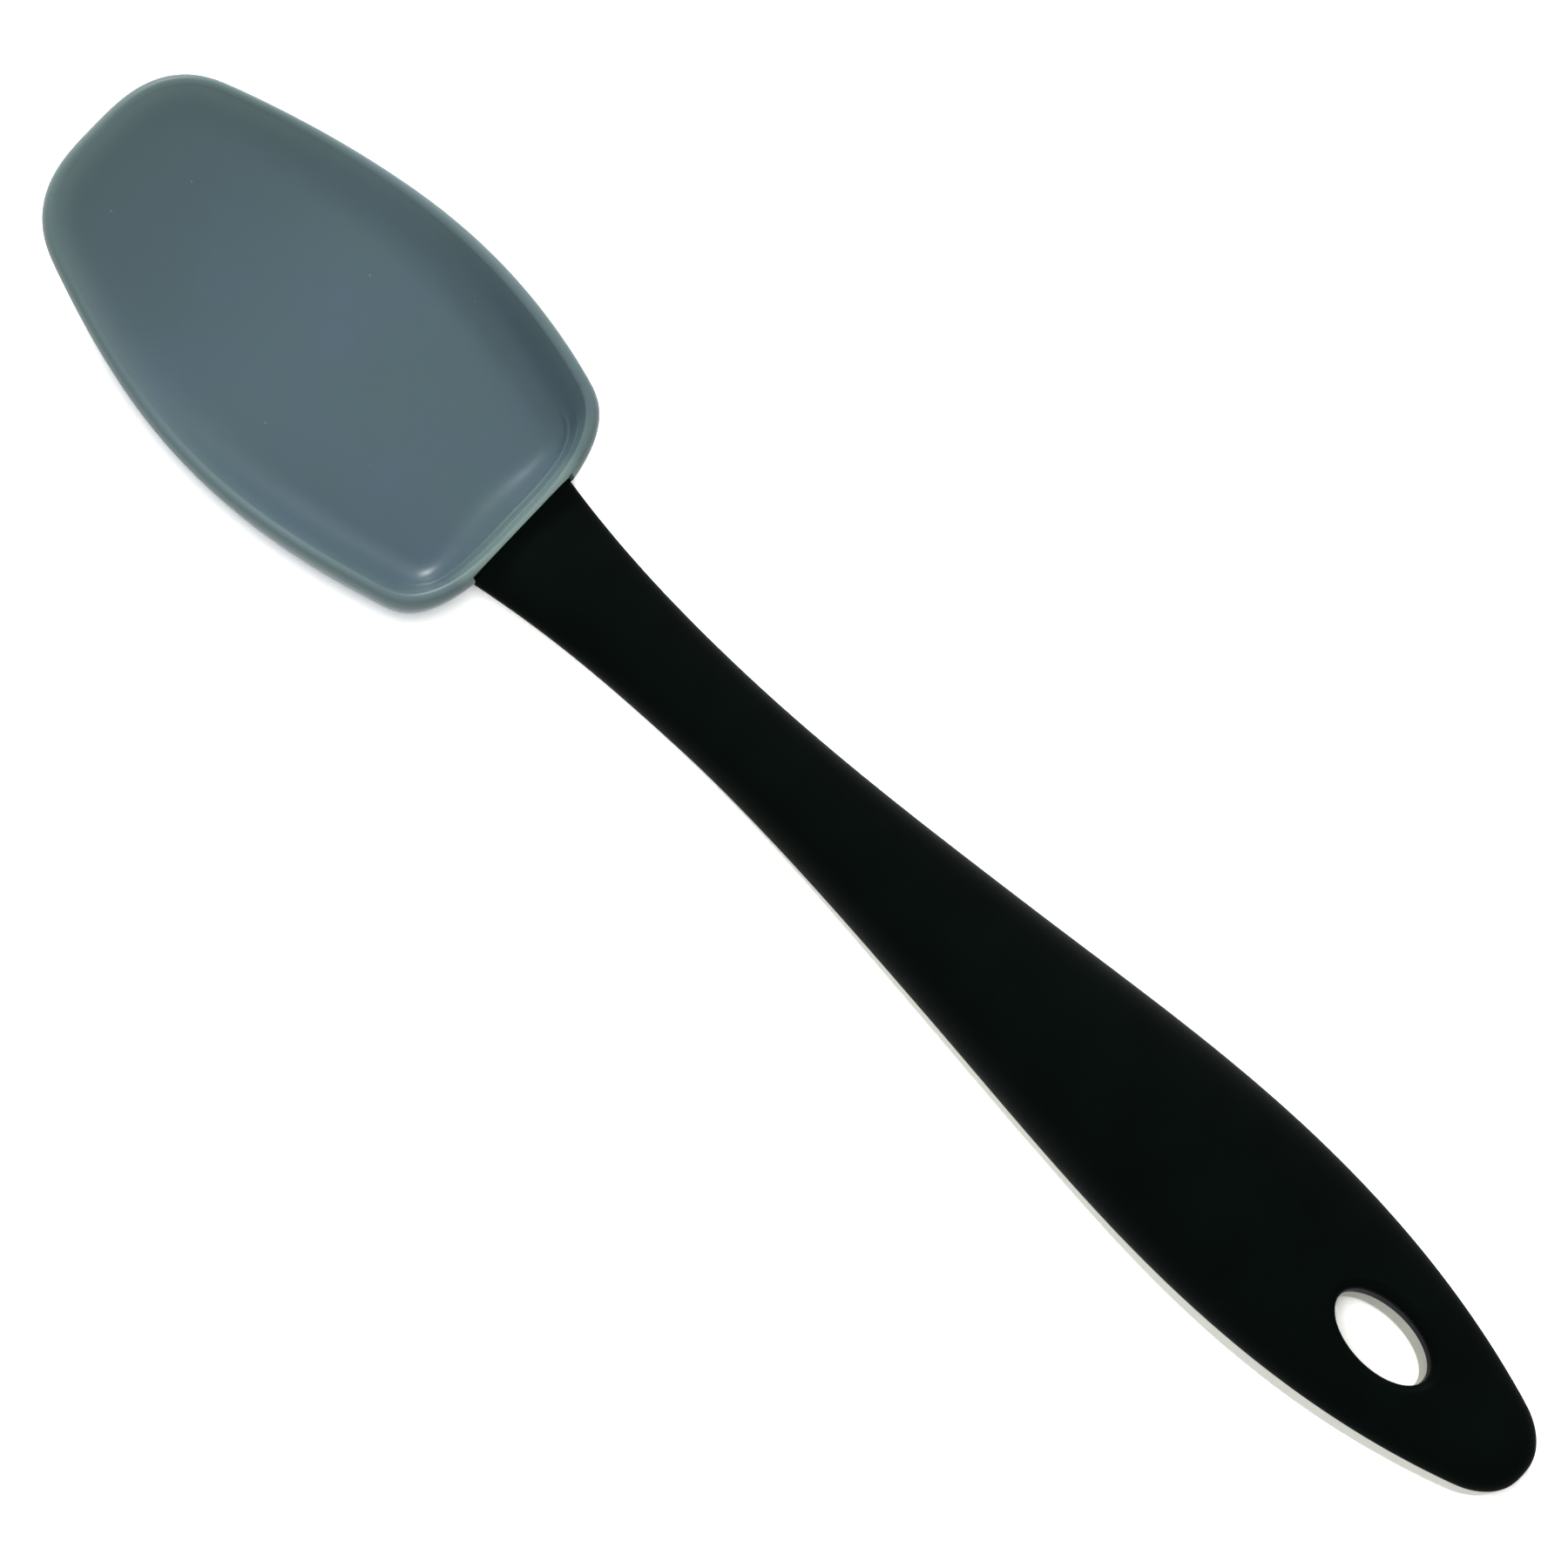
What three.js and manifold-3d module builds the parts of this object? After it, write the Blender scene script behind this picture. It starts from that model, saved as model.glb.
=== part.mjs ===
// Silicone spoon: a soft moulded head pushed on to a stiff core, which two handle shells clasp.
// Millimetres, +Z up. +X runs from the tip of the head to the hanging end of the handle,
// and the origin lies on the table under the middle of the spoon.

import * as THREE from "three";
import { mergeVertices } from "three/addons/utils/BufferGeometryUtils.js";
import Module from "manifold-3d";

const wasm = await Module();
wasm.setup();

// Overall
const OVERALL_LENGTH = 260;
const CLEARANCE = 0.3; // gap left between two pieces that meet
const CUT_OVERRUN = 2; // how far a cutting shape runs past the piece it cuts
const WELD_DISTANCE = 1e-5; // corners closer than this are one corner

// Head, seen from above
const HEAD_LENGTH = 78.6;
const HEAD_WIDTH = 49.2;
const HEAD_WIDEST_FROM_TIP = 45;
const TIP_WIDTH = 26.6; // between the side lines where they reach the tip
const TIP_FLARE = 0.43; // slope of a side line at the tip
const TIP_ROUND = 10; // length of the rounded tip corners
const TIP_SQUARENESS = 3.1; // 2 is an ellipse, more is squarer
const HEEL_WIDTH = 36; // between the side lines where they reach the heel
const HEEL_TAPER = 0.36; // slope of a side line at the heel
const HEEL_ROUND = 8.2;
const HEEL_SQUARENESS = 3;

// Head, seen from the side
const RIM_HEIGHT = 14.2; // at its highest, near the heel
const RIM_PEAK_FROM_HEEL = 12;
const RIM_HEEL_HEIGHT = 13;
const RIM_HEEL_FALL = 0.09;
const RIM_DIP_HEIGHT = 10.3;
const RIM_DIP_FROM_TIP = 29;
const RIM_TIP_HEIGHT = 12.4;
const RIM_TIP_FALL = 0.05;
const RIM_WIDTH = 2;
const RIM_OUTER_RISE = 1.6;
const RIM_INNER_RISE = 1;
const RIM_INNER_TURN = Math.PI / 4; // how far the rim's rounding turns before the wall begins
const FLOOR_HEIGHT = 7;
const FLOOR_TIP_HEIGHT = 12;
const FLOOR_TIP_FALL = 0.12;
const FLOOR_SWEEP_LENGTH = 38; // length over which the floor sweeps up to the tip
const FLOOR_INSET = { tip: 8, side: 9.5, heel: 5.8 };
const FLOOR_HEEL_SQUARENESS = 6;
const WALL_CURVE = 2.5; // 1 is a straight slope down to the floor, more is fuller
const HEEL_BULGE = 3.5; // how far the heel's wall swells into the bowl, round the core
const HEEL_BULGE_WIDTH = 20;
const BELLY_INSET = { tip: 34, side: 12.5, heel: 3.4 };
const BELLY_SQUARENESS = 1.8;
const TIP_RAMP_CURVE = 0.75; // 1 is a straight ramp under the tip, less is fuller

// Core, a flat blade in the head and a tang in the handle
const CORE_THICKNESS = 2.2;
const CORE_COVER = 1.4; // from the core up to the floor of the bowl
const CORE_TIP_WIDTH = 7;
const CORE_TIP_ROUND = 3.5;
const CORE_TIP_FROM_HEAD_TIP = 30;
const CORE_SHOULDER_LENGTH = 10;
const CORE_SIDE_WALL = 1.2; // shell beside the core
const TANG_LENGTH = 75;
const TANG_PEG_FROM_NECK = [20, 58];
const TANG_POST_RADIUS = 2.6;

// Handle, seen from above
const NECK_RECESS = 1; // how far the neck stands in the heel
const NECK_WIDTH = 19.2;
const NECK_TAPER = 0.19;
const WAIST_WIDTH = 13.4;
const WAIST_FROM_NECK = 35.2;
const SWELL_WIDTH = 20;
const SWELL_FROM_END = 100;
const SWELL_FLARE = 0.105;
const GRIP_WIDTH = 28.2;
const GRIP_FROM_END = 50.5;
const END_WIDTH = 10.2; // between the side lines where they reach the end
const END_TAPER = 0.4;
const END_ROUND = 6.5;
const END_SQUARENESS = 2.7;
const END_FLAT_SHARE = 0.12; // part of the section left at the very end

// Handle, seen from the side
const WIDEST_LINE_NECK = 9.4; // height at which the section is widest
const WIDEST_LINE_END = 6.5;
const NECK_TOP = 11.6;
const NECK_TOP_RISE = 0.09;
const CREST_TOP = 16.8;
const CREST_FROM_END = 78;
const HANG_TOP = 11.4;
const HANG_TOP_FALL = 0.14;
const END_TOP = 9.4;
const END_TOP_FALL = 0.1;
const UNDERSIDE_HEIGHT = 1;
const FOOT_SAG = 0.2; // how far the underside would sink below the table before it is cut flat
const END_UNDERSIDE = 0.8;
const END_UNDERSIDE_RISE = 0.06;
const PARTING_RISE = 0.05; // slope of the parting line at the neck
const PARTING_JOIN_FROM_NECK = 42; // where the parting line joins the widest line
const UPPER_SQUARENESS = 2.3; // 2 is an ellipse, more is squarer
const NECK_LOWER_SQUARENESS = 1.8;
const CREST_LOWER_SQUARENESS = 4.5;
const END_LOWER_SQUARENESS = 20;

// Inside the handle
const WALL = 2;
const END_WALL = 3;
const PEG_RADIUS = 1.5;
const POST_RADIUS = 3.3;
const POST_FROM_TANG = 20;
const POST_FROM_HANG_HOLE = 32;
const RIB_COUNT = 4;
const RIB_THICKNESS = 1.4;
const RIB_MARGIN = 9; // from the tang's end and from the collar to the nearest rib

// Hang hole
const HANG_FROM_END = 26.3;
const HANG_LENGTH = 16;
const HANG_WIDTH = 8.6;
const HANG_MOUTH_RADIUS = 1.8;
const HANG_COLLAR_WALL = 2;

// Facets
const SECTION_STEPS = 14;
const BODY_STEPS = 22;
const ROUND_STEPS = 5;
const SIDE_STEPS = 5;
const ARC_STEPS = 4;
const HOLE_STEPS = 24;
const PEG_STEPS = 12;

// Places along the spoon
const tipX = -OVERALL_LENGTH / 2;
const endX = OVERALL_LENGTH / 2;
const heelX = tipX + HEAD_LENGTH;
const neckX = heelX - NECK_RECESS;
const waistX = neckX + WAIST_FROM_NECK;
const swellX = endX - SWELL_FROM_END;
const crestX = endX - CREST_FROM_END;
const gripX = endX - GRIP_FROM_END;
const hangX = endX - HANG_FROM_END;
const endRoundX = endX - END_ROUND;
const coreTipX = tipX + CORE_TIP_FROM_HEAD_TIP;
const tangEndX = neckX + TANG_LENGTH;
const partingJoinX = neckX + PARTING_JOIN_FROM_NECK;
const coreZ = FLOOR_HEIGHT - CORE_COVER - CORE_THICKNESS / 2;

// A smooth curve through knots of [place, value, slope].
function curveThrough(knots) {
  return (place) => {
    let index = 0;
    while (index < knots.length - 2 && place > knots[index + 1][0]) {
      index += 1;
    }
    const [startPlace, startValue, startSlope] = knots[index];
    const [endPlace, endValue, endSlope] = knots[index + 1];
    const span = endPlace - startPlace;
    const t = (place - startPlace) / span;
    const ease = t * t * (3 - 2 * t);
    const startPull = t * (1 - t) * (1 - t) * span * startSlope;
    const endPull = t * t * (t - 1) * span * endSlope;
    return startValue + (endValue - startValue) * ease + startPull + endPull;
  };
}

// The numbers from 0 to 1 in even steps.
function fractions(steps) {
  return Array.from({ length: steps + 1 }, (_, index) => index / steps);
}

// A cosine or sine drawn towards a square corner, or towards a straight line below 2.
function squared(value, squareness) {
  return Math.sign(value) * Math.abs(value) ** (2 / squareness);
}

// A closed body skinned over rings of points, each end closed by a fan to its apex.
function loft(rings, startApex, endApex) {
  const size = rings[0].length;
  const points = [...rings.flat(), startApex, endApex];
  const startIndex = points.length - 2;
  const endIndex = points.length - 1;
  const lastRing = (rings.length - 1) * size;
  const triangles = [];
  for (let step = 0; step < size; step += 1) {
    const next = (step + 1) % size;
    triangles.push(startIndex, next, step);
    triangles.push(endIndex, lastRing + step, lastRing + next);
    for (let ring = 0; ring < lastRing; ring += size) {
      triangles.push(ring + step, ring + next, ring + size + next);
      triangles.push(ring + step, ring + size + next, ring + size + step);
    }
  }
  const geometry = new THREE.BufferGeometry();
  const positions = points.flatMap((point) => point.toArray());
  geometry.setAttribute("position", new THREE.Float32BufferAttribute(positions, 3));
  geometry.setIndex(triangles);
  return geometry;
}

function middleOf(ring) {
  const sum = new THREE.Vector3();
  ring.forEach((point) => sum.add(point));
  return sum.divideScalar(ring.length);
}

function toSolid(geometry) {
  const bare = geometry.clone();
  bare.deleteAttribute("normal");
  bare.deleteAttribute("uv");
  const welded = mergeVertices(bare, WELD_DISTANCE);
  return new wasm.Manifold(
    new wasm.Mesh({
      numProp: 3,
      vertProperties: new Float32Array(welded.attributes.position.array),
      triVerts: new Uint32Array(welded.index.array),
    }),
  );
}

function toGeometry(solid) {
  const mesh = solid.getMesh();
  const geometry = new THREE.BufferGeometry();
  geometry.setAttribute("position", new THREE.BufferAttribute(mesh.vertProperties, 3));
  geometry.setIndex(new THREE.BufferAttribute(mesh.triVerts, 1));
  geometry.computeVertexNormals();
  return geometry;
}

function subtractAll(solid, cutters) {
  return cutters.reduce((rest, cutter) => rest.subtract(cutter), solid);
}

function addAll(solid, additions) {
  return additions.reduce((whole, addition) => whole.add(addition), solid);
}

// An upright round bar between two heights.
function uprightBar(x, radius, bottom, top) {
  const geometry = new THREE.CylinderGeometry(radius, radius, top - bottom, PEG_STEPS);
  geometry.rotateX(Math.PI / 2);
  geometry.translate(x, 0, (top + bottom) / 2);
  return toSolid(geometry);
}

function block(sizeX, sizeY, sizeZ, x, z) {
  const geometry = new THREE.BoxGeometry(sizeX, sizeY, sizeZ);
  geometry.translate(x, 0, z);
  return toSolid(geometry);
}

// Head

const headSide = curveThrough([
  [0, TIP_WIDTH / 2, TIP_FLARE],
  [HEAD_WIDEST_FROM_TIP, HEAD_WIDTH / 2, 0],
  [HEAD_LENGTH, HEEL_WIDTH / 2, -HEEL_TAPER],
]);
const rimHeight = curveThrough([
  [0, RIM_TIP_HEIGHT, -RIM_TIP_FALL],
  [RIM_DIP_FROM_TIP, RIM_DIP_HEIGHT, 0],
  [HEAD_LENGTH - RIM_PEAK_FROM_HEEL, RIM_HEIGHT, 0],
  [HEAD_LENGTH, RIM_HEEL_HEIGHT, -RIM_HEEL_FALL],
]);
const floorHeight = curveThrough([
  [0, FLOOR_TIP_HEIGHT, -FLOOR_TIP_FALL],
  [FLOOR_SWEEP_LENGTH, FLOOR_HEIGHT, 0],
  [HEAD_LENGTH, FLOOR_HEIGHT, 0],
]);

// One side of the head's outline from the tip to the heel, as distance from the tip and half width.
function headHalfOutline(heelSquareness) {
  const rounded = (length, squareness, turn) => ({
    along: length * (1 - squared(Math.cos(turn), squareness)),
    share: squared(Math.sin(turn), squareness),
  });
  const turns = fractions(ROUND_STEPS).map((t) => (t * Math.PI) / 2);
  const tip = turns.map((turn) => {
    const { along, share } = rounded(TIP_ROUND, TIP_SQUARENESS, turn);
    return [along, headSide(along) * share];
  });
  const heel = turns.map((turn) => {
    const { along, share } = rounded(HEEL_ROUND, heelSquareness, turn);
    return [HEAD_LENGTH - along, headSide(HEAD_LENGTH - along) * share];
  });
  const sideBetween = (start, stop) =>
    fractions(SIDE_STEPS).map((t) => [start + (stop - start) * t, headSide(start + (stop - start) * t)]);
  const front = sideBetween(TIP_ROUND, HEAD_WIDEST_FROM_TIP).slice(1);
  const rear = sideBetween(HEAD_WIDEST_FROM_TIP, HEAD_LENGTH - HEEL_ROUND).slice(1, -1);
  return [...tip, ...front, ...rear, ...heel.reverse()];
}

function headOutline(heelSquareness) {
  const oneSide = headHalfOutline(heelSquareness);
  return [...oneSide.map(([along, half]) => [along, -half]), ...oneSide.slice(1, -1).reverse()];
}

// How far a point of the heel's wall swells into the bowl, as a share of the full bulge.
const heelShare = curveThrough([
  [HEAD_WIDEST_FROM_TIP, 0, 0],
  [HEAD_LENGTH, 1, 0],
]);
function bulgeShare(along, across) {
  const off = (2 * across) / HEEL_BULGE_WIDTH;
  return heelShare(Math.max(along, HEAD_WIDEST_FROM_TIP)) * Math.exp(-off * off);
}

// The head's outline drawn in from its tip, sides and heel, at a height that follows the length.
function headRing(inset, heightAt, { bulge = 0, heelSquareness = HEEL_SQUARENESS } = {}) {
  const lengthShare = (HEAD_LENGTH - inset.tip - inset.heel) / HEAD_LENGTH;
  const widthShare = 1 - (2 * inset.side) / HEAD_WIDTH;
  return headOutline(heelSquareness).map(([along, across]) => {
    const place = inset.tip + along * lengthShare;
    const x = tipX + place - bulge * bulgeShare(along, across * widthShare);
    return new THREE.Vector3(x, across * widthShare, heightAt(place));
  });
}

function blendInset(from, to, share) {
  const { lerp } = THREE.MathUtils;
  return {
    tip: lerp(from.tip, to.tip, share),
    side: lerp(from.side, to.side, share),
    heel: lerp(from.heel, to.heel, share),
  };
}

function evenInset(size) {
  return { tip: size, side: size, heel: size };
}

// Rings from the flat belly up the outside, over the rim and down to the floor of the bowl.
function headRings() {
  const turns = fractions(ARC_STEPS).map((t) => (t * Math.PI) / 2);
  const edge = (place) => rimHeight(place) - RIM_OUTER_RISE;
  const rimInset = (turn) => evenInset((RIM_WIDTH / 2) * (1 + Math.sin(turn)));
  const rimDrop = (turn) => RIM_INNER_RISE * (1 - Math.cos(turn));
  const belly = turns.map((turn) => {
    const rise = 1 - squared(Math.cos(turn), BELLY_SQUARENESS);
    const spread = squared(Math.sin(turn), BELLY_SQUARENESS);
    const inset = {
      tip: BELLY_INSET.tip * (1 - rise ** TIP_RAMP_CURVE),
      side: BELLY_INSET.side * (1 - spread),
      heel: BELLY_INSET.heel * (1 - spread),
    };
    return headRing(inset, (place) => edge(place) * rise);
  });
  const outerRim = turns.slice(1).map((turn) => {
    const inset = evenInset((RIM_WIDTH / 2) * (1 - Math.cos(turn)));
    return headRing(inset, (place) => edge(place) + RIM_OUTER_RISE * Math.sin(turn));
  });
  const steps = fractions(ARC_STEPS).slice(1);
  const innerRim = steps.map((t) => {
    const turn = RIM_INNER_TURN * t;
    return headRing(rimInset(turn), (place) => rimHeight(place) - rimDrop(turn));
  });
  const wall = steps.map((spread) => {
    const up = (1 - spread) ** WALL_CURVE;
    const inset = blendInset(rimInset(RIM_INNER_TURN), FLOOR_INSET, spread);
    const innerEdge = (place) => rimHeight(place) - rimDrop(RIM_INNER_TURN);
    const heightAt = (place) => innerEdge(place) * up + floorHeight(place) * (1 - up);
    const heelSquareness = THREE.MathUtils.lerp(HEEL_SQUARENESS, FLOOR_HEEL_SQUARENESS, spread);
    return headRing(inset, heightAt, { bulge: HEEL_BULGE * spread, heelSquareness });
  });
  const wholeInset = { tip: HEAD_LENGTH / 2, side: HEAD_WIDTH / 2, heel: HEAD_LENGTH / 2 };
  const floor = [1 / 3, 2 / 3].map((share) =>
    headRing(blendInset(FLOOR_INSET, wholeInset, share), floorHeight, {
      bulge: HEEL_BULGE * (1 - share),
      heelSquareness: FLOOR_HEEL_SQUARENESS,
    }),
  );
  return [...belly, ...outerRim, ...innerRim, ...wall, ...floor];
}

// Handle

const halfWidth = curveThrough([
  [neckX, NECK_WIDTH / 2, -NECK_TAPER],
  [waistX, WAIST_WIDTH / 2, 0],
  [swellX, SWELL_WIDTH / 2, SWELL_FLARE],
  [gripX, GRIP_WIDTH / 2, 0],
  [endX, END_WIDTH / 2, -END_TAPER],
]);
const topHeight = curveThrough([
  [neckX, NECK_TOP, NECK_TOP_RISE],
  [crestX, CREST_TOP, 0],
  [hangX, HANG_TOP, -HANG_TOP_FALL],
  [endX, END_TOP, -END_TOP_FALL],
]);
const undersideHeight = curveThrough([
  [neckX, UNDERSIDE_HEIGHT, 0],
  [crestX, UNDERSIDE_HEIGHT, 0],
  [hangX, -FOOT_SAG, 0],
  [endX, END_UNDERSIDE, END_UNDERSIDE_RISE],
]);
const widestLineFall = (WIDEST_LINE_NECK - WIDEST_LINE_END) / (endX - neckX);
const widestHeight = curveThrough([
  [neckX, WIDEST_LINE_NECK, -widestLineFall],
  [endX, WIDEST_LINE_END, -widestLineFall],
]);
const partingHeight = curveThrough([
  [neckX, coreZ, PARTING_RISE],
  [partingJoinX, widestHeight(partingJoinX), -widestLineFall],
  [endX, WIDEST_LINE_END, -widestLineFall],
]);
const lowerSquareness = curveThrough([
  [neckX, NECK_LOWER_SQUARENESS, 0],
  [waistX, NECK_LOWER_SQUARENESS, 0],
  [crestX, CREST_LOWER_SQUARENESS, 0],
  [endX, END_LOWER_SQUARENESS, 0],
]);

// How far the section reaches above (side 1) or below (side -1) its widest line, and how squarely.
function sectionReach(x, side) {
  const limit = side > 0 ? topHeight(x) : undersideHeight(x);
  const squareness = side > 0 ? UPPER_SQUARENESS : lowerSquareness(x);
  return { reach: Math.abs(limit - widestHeight(x)), squareness };
}

// The handle's closed cross-section, thinned by an inset and shrunk to a share at the rounded end.
function handleSection(x, { inset = 0, share = 1 } = {}) {
  return fractions(2 * SECTION_STEPS).slice(1).map((t) => {
    const turn = 2 * Math.PI * t;
    const { reach, squareness } = sectionReach(x, Math.sin(turn) >= 0 ? 1 : -1);
    const across = (halfWidth(x) - inset) * share * squared(Math.cos(turn), squareness);
    const rise = (reach - inset) * share * squared(Math.sin(turn), squareness);
    return new THREE.Vector3(x, across, widestHeight(x) + rise);
  });
}

// Height of the handle's outside over a point, no lower than the table.
function surfaceHeight(x, y, side) {
  const { reach, squareness } = sectionReach(x, side);
  const across = Math.min(Math.abs(y) / halfWidth(x), 1);
  const rise = (1 - across ** squareness) ** (1 / squareness);
  return Math.max(widestHeight(x) + side * reach * rise, 0);
}

// Half width of the handle's lower part at a height.
function lowerHalfWidth(x, height) {
  const { reach, squareness } = sectionReach(x, -1);
  const down = (widestHeight(x) - height) / reach;
  return halfWidth(x) * (1 - down ** squareness) ** (1 / squareness);
}

function handleBody() {
  const stations = fractions(BODY_STEPS).map((t) => neckX + (endRoundX - neckX) * t);
  const body = stations.map((x) => handleSection(x));
  const end = fractions(ROUND_STEPS).slice(1).map((t) => {
    const turn = (t * Math.PI) / 2;
    const share = Math.max(squared(Math.cos(turn), END_SQUARENESS), END_FLAT_SHARE);
    return handleSection(endRoundX + END_ROUND * squared(Math.sin(turn), END_SQUARENESS), { share });
  });
  return toSolid(loft([...body, ...end], middleOf(body[0]), middleOf(end.at(-1))));
}

// The hollow inside both shells.
function handleHollow() {
  const startX = neckX + END_WALL;
  const stopX = endRoundX - WALL;
  const rings = fractions(BODY_STEPS).map((t) =>
    handleSection(startX + (stopX - startX) * t, { inset: WALL }),
  );
  return toSolid(loft(rings, middleOf(rings[0]), middleOf(rings.at(-1))));
}

// All the space above (side 1) or below (side -1) the parting line, less half the gap.
function partingSpace(side) {
  const reach = OVERALL_LENGTH / 2;
  const startX = neckX - CUT_OVERRUN;
  const length = endX + CUT_OVERRUN - startX;
  const rings = fractions(2 * BODY_STEPS).map((t) => {
    const x = startX + length * t;
    const near = partingHeight(x) + (side * CLEARANCE) / 2;
    const [low, high] = side > 0 ? [near, reach] : [-reach, near];
    const corners = [
      [-reach, low],
      [reach, low],
      [reach, high],
      [-reach, high],
    ];
    return corners.map(([across, height]) => new THREE.Vector3(x, across, height));
  });
  return toSolid(loft(rings, middleOf(rings[0]), middleOf(rings.at(-1))));
}

// Core

const coreBottom = coreZ - CORE_THICKNESS / 2;
const coreTop = coreZ + CORE_THICKNESS / 2;
const coreFit = CORE_SIDE_WALL + CLEARANCE;
const coreRootHalf = lowerHalfWidth(neckX, coreBottom - CLEARANCE) - coreFit;
const tangHalf = lowerHalfWidth(waistX, coreBottom - CLEARANCE) - coreFit;
const coreHalf = curveThrough([
  [coreTipX, CORE_TIP_WIDTH / 2, 0],
  [neckX, coreRootHalf, 0],
  [neckX + CORE_SHOULDER_LENGTH, tangHalf, 0],
  [tangEndX, tangHalf, 0],
]);

// The core without its holes, grown all over by a margin.
function coreBody(margin) {
  const ring = (x, share = 1) => {
    const half = (coreHalf(x) + margin) * share;
    const corners = [
      [-half, coreBottom - margin],
      [half, coreBottom - margin],
      [half, coreTop + margin],
      [-half, coreTop + margin],
    ];
    return corners.map(([across, height]) => new THREE.Vector3(x, across, height));
  };
  const along = (startX, stopX, steps) => fractions(steps).map((t) => ring(startX + (stopX - startX) * t));
  const roundX = coreTipX + CORE_TIP_ROUND;
  const tip = fractions(ROUND_STEPS).slice(1, -1).map((t) => {
    const turn = (t * Math.PI) / 2;
    return ring(roundX - (CORE_TIP_ROUND + margin) * Math.cos(turn), Math.sin(turn));
  });
  const blade = along(roundX, neckX, ARC_STEPS);
  const shoulder = along(neckX, neckX + CORE_SHOULDER_LENGTH, ARC_STEPS).slice(1);
  const tangEnd = ring(tangEndX + margin);
  const nose = new THREE.Vector3(coreTipX - margin, 0, coreZ);
  return toSolid(loft([...tip, ...blade, ...shoulder, tangEnd], nose, middleOf(tangEnd)));
}

// Pegs of the upper shell that pass through the tang.
const tangPegX = TANG_PEG_FROM_NECK.map((distance) => neckX + distance);
function tangPegs(radius, bottom) {
  return tangPegX.map((x) => uprightBar(x, radius, bottom, topHeight(x) - WALL / 2));
}

// The room that the core takes in the shells, with the pegs left standing in it.
const coreRoom = coreBody(CLEARANCE);
const peggedCoreRoom = subtractAll(coreRoom, tangPegs(PEG_RADIUS, coreBottom - CUT_OVERRUN));

// Inside the handle, behind the tang

const postX = [tangEndX + POST_FROM_TANG, hangX - POST_FROM_HANG_HOLE];

function ribs() {
  const collarX = hangX - HANG_LENGTH / 2 - HANG_COLLAR_WALL;
  const firstX = tangEndX + RIB_MARGIN;
  const spacing = (collarX - RIB_MARGIN - firstX) / (RIB_COUNT - 1);
  return fractions(RIB_COUNT - 1).map((_, index) =>
    block(RIB_THICKNESS, OVERALL_LENGTH, OVERALL_LENGTH, firstX + spacing * index, 0),
  );
}

function hangCollar() {
  const outline = new THREE.Shape();
  const reachX = HANG_LENGTH / 2 + HANG_COLLAR_WALL;
  const reachY = HANG_WIDTH / 2 + HANG_COLLAR_WALL;
  outline.absellipse(0, 0, reachX, reachY, 0, 2 * Math.PI);
  const settings = { depth: OVERALL_LENGTH, bevelEnabled: false, curveSegments: HOLE_STEPS };
  const geometry = new THREE.ExtrudeGeometry(outline, settings);
  geometry.translate(hangX, 0, -OVERALL_LENGTH / 2);
  return toSolid(geometry);
}

// The hang hole with a rounded mouth at each face.
function hangHole() {
  const ring = (spread, side, depth) =>
    fractions(HOLE_STEPS).slice(1).map((t) => {
      const turn = 2 * Math.PI * t;
      const x = hangX + (HANG_LENGTH / 2 + spread) * Math.cos(turn);
      const y = (HANG_WIDTH / 2 + spread) * Math.sin(turn);
      return new THREE.Vector3(x, y, surfaceHeight(x, y, side) - side * depth);
    });
  const mouth = (side) => {
    const rounded = fractions(ARC_STEPS - 1).map((t) => {
      const turn = (t * Math.PI) / 2;
      const spread = HANG_MOUTH_RADIUS * (1 - Math.sin(turn));
      return ring(spread, side, HANG_MOUTH_RADIUS * (1 - Math.cos(turn)));
    });
    return [ring(HANG_MOUTH_RADIUS, side, -CUT_OVERRUN), ...rounded];
  };
  const rings = [...mouth(-1), ...mouth(1).reverse()];
  return toSolid(loft(rings, middleOf(rings[0]), middleOf(rings.at(-1))));
}

// Pieces

// The room of the neck in the heel of the head, open at the top.
function neckNotch() {
  const startX = neckX - CLEARANCE;
  const stopX = heelX + CUT_OVERRUN;
  const openFrom = WIDEST_LINE_NECK + CLEARANCE;
  const outline = handleSection(neckX, { inset: -CLEARANCE });
  const rings = [startX, stopX].map((x) =>
    outline.map(({ y, z }) => new THREE.Vector3(x, y, z > openFrom ? z + RIM_HEIGHT : z)),
  );
  return toSolid(loft(rings, middleOf(rings[0]), middleOf(rings[1])));
}

function makeHead() {
  const rings = headRings();
  const body = toSolid(loft(rings, middleOf(rings[0]), middleOf(rings.at(-1))));
  return subtractAll(body, [neckNotch(), coreRoom]);
}

function makeCore() {
  return subtractAll(coreBody(0), tangPegs(PEG_RADIUS + CLEARANCE, coreBottom - CUT_OVERRUN));
}

const hollow = subtractAll(handleHollow(), [...ribs(), hangCollar()]);

function makeUpperShell() {
  const ceiling = (x) => topHeight(x) - WALL / 2;
  const posts = postX.map((x) =>
    uprightBar(x, POST_RADIUS, partingHeight(x) + CLEARANCE / 2, ceiling(x)),
  );
  const postPegs = postX.map((x) =>
    uprightBar(x, PEG_RADIUS, undersideHeight(x) + WALL + CLEARANCE, ceiling(x)),
  );
  const tangPosts = tangPegX.map((x) =>
    uprightBar(x, TANG_POST_RADIUS, coreTop + CLEARANCE, ceiling(x)),
  );
  const shell = handleBody().intersect(partingSpace(1)).subtract(hollow);
  const posted = addAll(shell, [...posts, ...postPegs, ...tangPosts]);
  const pegged = addAll(posted.subtract(peggedCoreRoom), tangPegs(PEG_RADIUS, coreBottom));
  return pegged.subtract(hangHole());
}

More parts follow.
